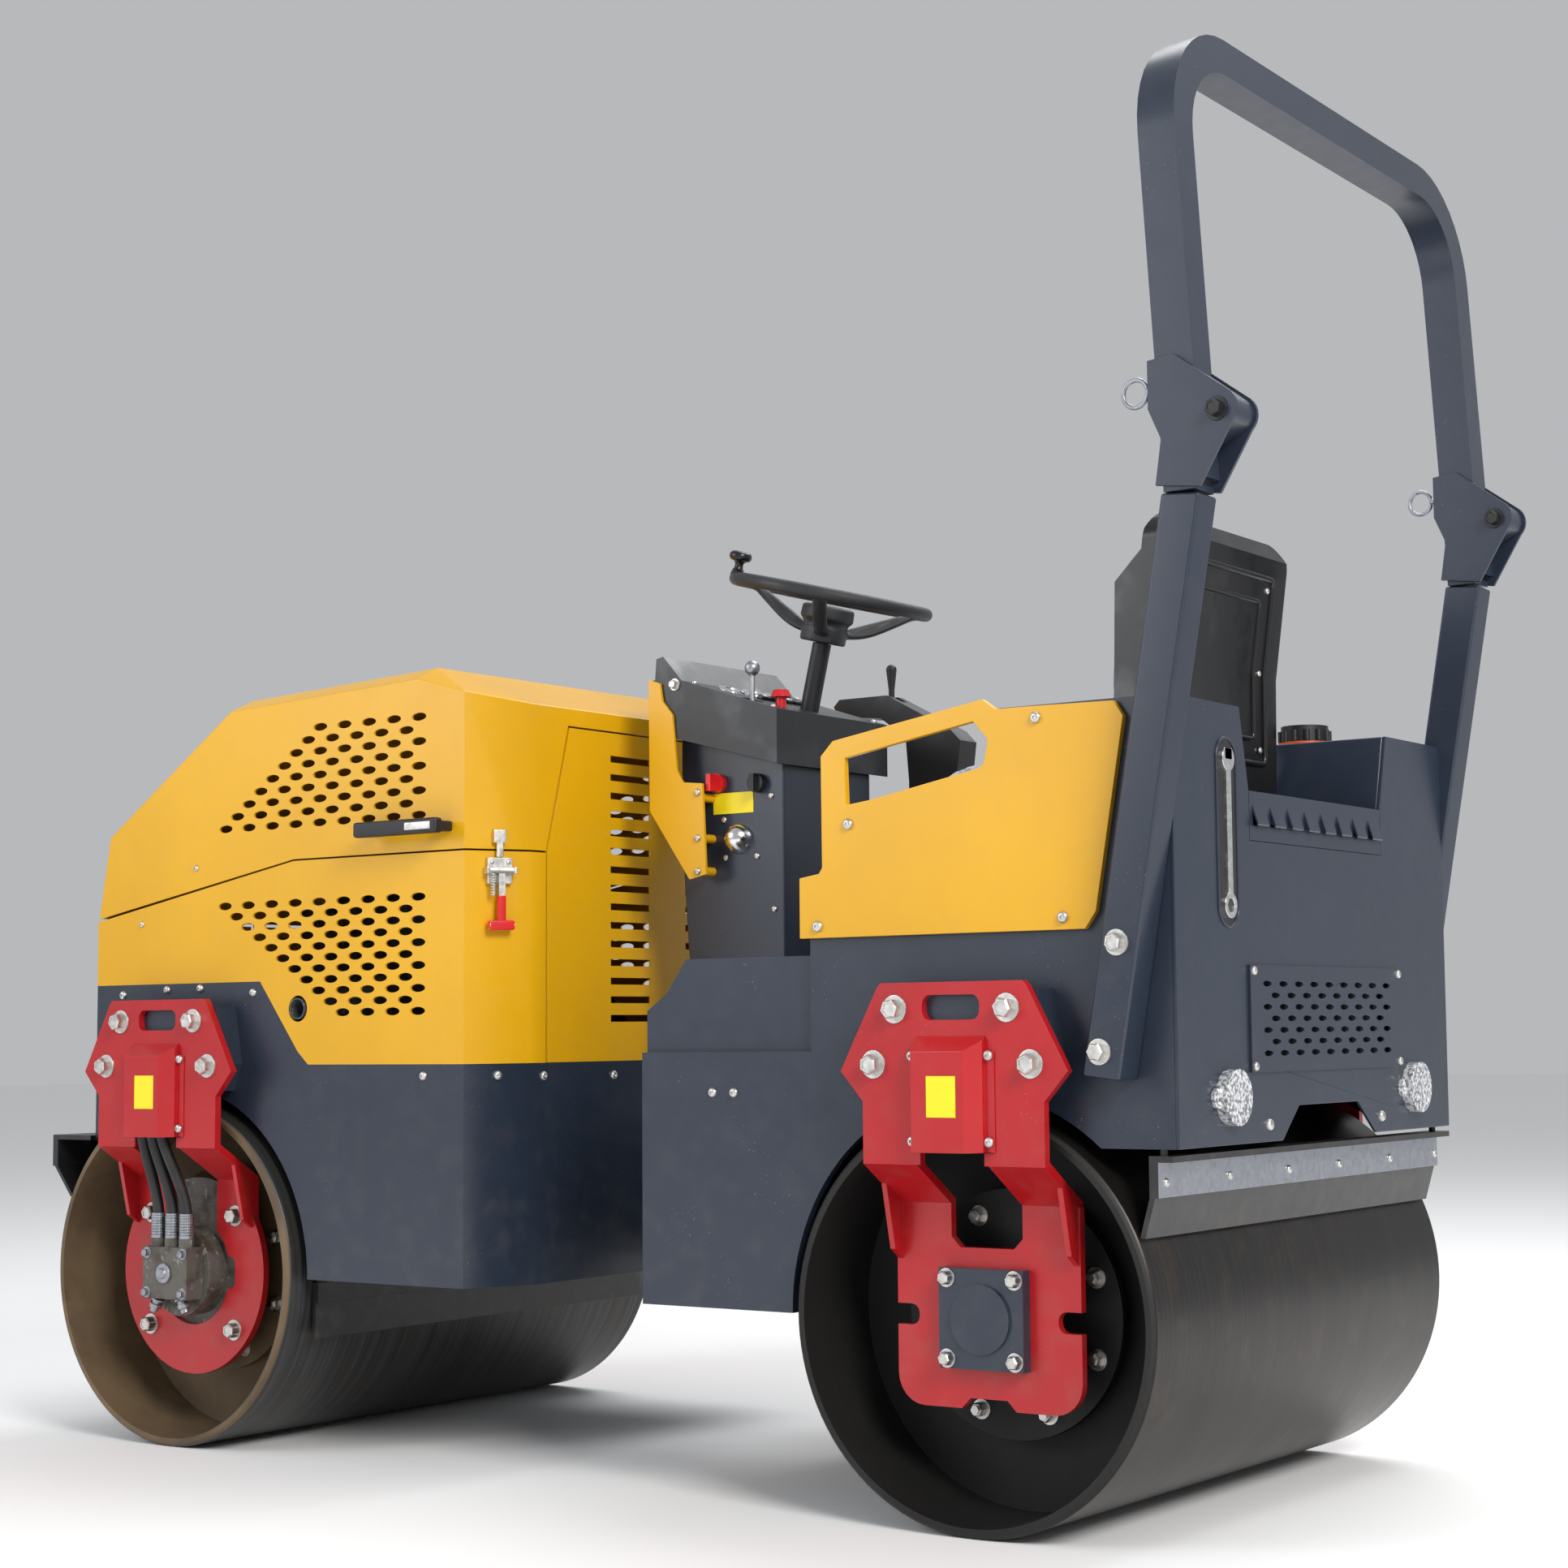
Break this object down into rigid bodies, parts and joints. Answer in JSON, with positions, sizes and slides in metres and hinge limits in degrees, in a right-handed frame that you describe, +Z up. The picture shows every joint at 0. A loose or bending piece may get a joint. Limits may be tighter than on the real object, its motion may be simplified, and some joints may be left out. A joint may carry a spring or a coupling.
{
  "type": "mini road roller",
  "caption": "Compact ride-on tandem roller with articulated steering, two steel drums, opening hood and folding roll bar.",
  "frame": {"origin": "on the ground below the middle of the bounding box", "axes": "-X is the front, -Y the left side, +Z up"},
  "size_m": [2.306, 1.016, 1.9721],
  "materials": {
    "navy": "satin powder coat",
    "yellow": "satin powder coat",
    "red": "satin powder coat",
    "black_plastic": "moulded, light grain",
    "black_metal": "satin black paint",
    "drum_steel": "rolled steel, worn",
    "steel": "zinc plated",
    "cast": "painted casting",
    "hose_rubber": "hydraulic hose",
    "seat_cloth": "mottled woven cloth",
    "lamp": "ribbed clear lens",
    "red_plastic": "gloss"
  },
  "bodies": {
    "rear_module": {"rear_frame": "navy", "floor_plate": "black_metal", "pedestal": "navy", "console": "black_plastic", "console_guards": "yellow", "steering_column": "black_metal", "side_panels": "yellow", "rear_panel": "navy", "louvre_strip": "navy", "grille": "navy", "towers": "navy", "seat_base": "navy", "rops_posts": "navy", "rops_cheeks": "navy", "rear_brackets": "red", "rear_bracket_covers": "red", "rear_bearing": "navy", "rear_motor": "cast", "rear_hoses": "hose_rubber", "rear_scrapers": "black_metal", "rear_bolts": "steel", "control_stand": "black_plastic", "spanner": "steel", "rear_lamps": "lamp"},
    "yoke_body": {"yoke": "cast", "articulation_pin": "steel"},
    "front_module": {"front_frame": "navy", "lower_body": "yellow", "rear_cover": "yellow", "engine": "cast", "front_brackets": "red", "front_bracket_covers": "red", "front_bearing": "navy", "front_motor": "cast", "front_hoses": "hose_rubber", "front_scrapers": "black_metal", "front_bolts": "steel"},
    "hood_body": {"hood": "yellow", "hood_handles": "black_metal"},
    "latch": {"latch_lever": "red_plastic"},
    "front_roller": {"front_drum": "drum_steel"},
    "rear_roller": {"rear_drum": "drum_steel"},
    "front_vibrator": {"front_exciter": "steel"},
    "rear_vibrator": {"rear_exciter": "steel"},
    "ram_barrel": {"cylinder_barrel": "black_metal"},
    "ram_rod": {"cylinder_rod": "steel"},
    "wheel": {"steering_wheel": "black_plastic"},
    "knob": {"spinner_knob": "black_plastic"},
    "seat": {"seat_shell": "black_plastic", "seat_cushion": "seat_cloth", "back_cushion": "seat_cloth"},
    "roll_bar": {"rops_hoop": "navy"},
    "lock_pin_left": {"rops_pin_left": "steel"},
    "lock_pin_right": {"rops_pin_right": "steel"},
    "cap": {"filler_cap": "black_plastic"},
    "drive_lever": {"travel_lever": "black_plastic"},
    "hand_throttle": {"throttle_lever": "black_plastic"},
    "stop": {"stop_button": "red_plastic"},
    "isolator": {"isolator_key": "red_plastic"},
    "ignition": {"ignition_key": "black_plastic"}
  },
  "joints": [
    {"name": "steer", "type": "hinge", "parent": "rear_module", "child": "yoke_body", "pos_m": [-0.0645, 0, 0.43], "axis": [0, 0, 1], "range_deg": [-28, 28]},
    {"name": "oscillate", "type": "hinge", "parent": "yoke_body", "child": "front_module", "pos_m": [-0.0645, 0, 0.43], "axis": [1, 0, 0], "range_deg": [-8, 8]},
    {"name": "ram_swing", "type": "hinge", "parent": "rear_module", "child": "ram_barrel", "pos_m": [0.1135, -0.04, 0.297], "axis": [0, 0, 1], "range_deg": [-5, 5]},
    {"name": "ram_stroke", "type": "slide", "parent": "ram_barrel", "child": "ram_rod", "axis": [-0.8851, 0.4655, 0], "range_m": [-0.0235, 0.0235]},
    {"name": "front_roll", "type": "hinge", "parent": "front_module", "child": "front_roller", "pos_m": [-0.842, 0, 0.28], "axis": [0, 1, 0], "continuous": true},
    {"name": "rear_roll", "type": "hinge", "parent": "rear_module", "child": "rear_roller", "pos_m": [0.713, 0, 0.28], "axis": [0, 1, 0], "continuous": true},
    {"name": "front_vibration", "type": "hinge", "parent": "front_roller", "child": "front_vibrator", "pos_m": [-0.842, 0, 0.28], "axis": [0, 1, 0], "continuous": true},
    {"name": "rear_vibration", "type": "hinge", "parent": "rear_roller", "child": "rear_vibrator", "pos_m": [0.713, 0, 0.28], "axis": [0, 1, 0], "continuous": true},
    {"name": "hood_lift", "type": "hinge", "parent": "front_module", "child": "hood_body", "pos_m": [-1.045, 0, 0.843], "axis": [0, -1, 0], "range_deg": [0, 60]},
    {"name": "latch_swing", "type": "hinge", "parent": "front_module", "child": "latch", "pos_m": [-0.1692, -0.3881, 0.913], "axis": [-0.4582, -0.8889, 0], "range_deg": [0, 95]},
    {"name": "roll_bar_fold", "type": "hinge", "parent": "rear_module", "child": "roll_bar", "pos_m": [1.125, 0, 1.433], "axis": [0, 1, 0], "range_deg": [0, 112]},
    {"name": "lock_left", "type": "slide", "parent": "roll_bar", "child": "lock_pin_left", "axis": [-1, 0, 0], "range_m": [0, 0.036]},
    {"name": "lock_right", "type": "slide", "parent": "roll_bar", "child": "lock_pin_right", "axis": [-1, 0, 0], "range_m": [0, 0.036]},
    {"name": "wheel_turn", "type": "hinge", "parent": "rear_module", "child": "wheel", "pos_m": [0.17944, 0, 1.352], "axis": [0.2419, 0, 0.9703], "continuous": true},
    {"name": "knob_spin", "type": "hinge", "parent": "wheel", "child": "knob", "pos_m": [0.07378, -0.10889, 1.37834], "axis": [0.2419, 0, 0.9703], "continuous": true},
    {"name": "seat_slide", "type": "slide", "parent": "rear_module", "child": "seat", "axis": [1, 0, 0], "range_m": [-0.06, 0.024]},
    {"name": "travel", "type": "hinge", "parent": "rear_module", "child": "drive_lever", "pos_m": [0.113, 0.265, 1.198], "axis": [0, 1, 0], "range_deg": [-18, 18]},
    {"name": "throttle", "type": "hinge", "parent": "rear_module", "child": "hand_throttle", "pos_m": [0.117, -0.126, 1.16741], "axis": [0, 1, 0], "range_deg": [-16, 16]},
    {"name": "stop_push", "type": "slide", "parent": "rear_module", "child": "stop", "axis": [0, 0, -1], "range_m": [0, 0.006], "stiffness_N_per_m": 600, "springref_m": -0.002},
    {"name": "isolator_turn", "type": "hinge", "parent": "rear_module", "child": "isolator", "pos_m": [0.044, -0.117, 1.053], "axis": [0, 1, 0], "range_deg": [0, 90]},
    {"name": "ignition_turn", "type": "hinge", "parent": "rear_module", "child": "ignition", "pos_m": [0.122, -0.117, 1.049], "axis": [0, 1, 0], "range_deg": [0, 90]},
    {"name": "cap_turn", "type": "hinge", "parent": "rear_module", "child": "cap", "pos_m": [0.863, 0.29, 1.088], "axis": [0, 0, 1], "range_deg": [0, 90]}
  ],
  "couplings": [
    {"joint": "ram_swing", "follows": "steer", "ratio": 0.16773},
    {"joint": "ram_stroke", "follows": "steer", "m_per_rad": 0.046772}
  ]
}
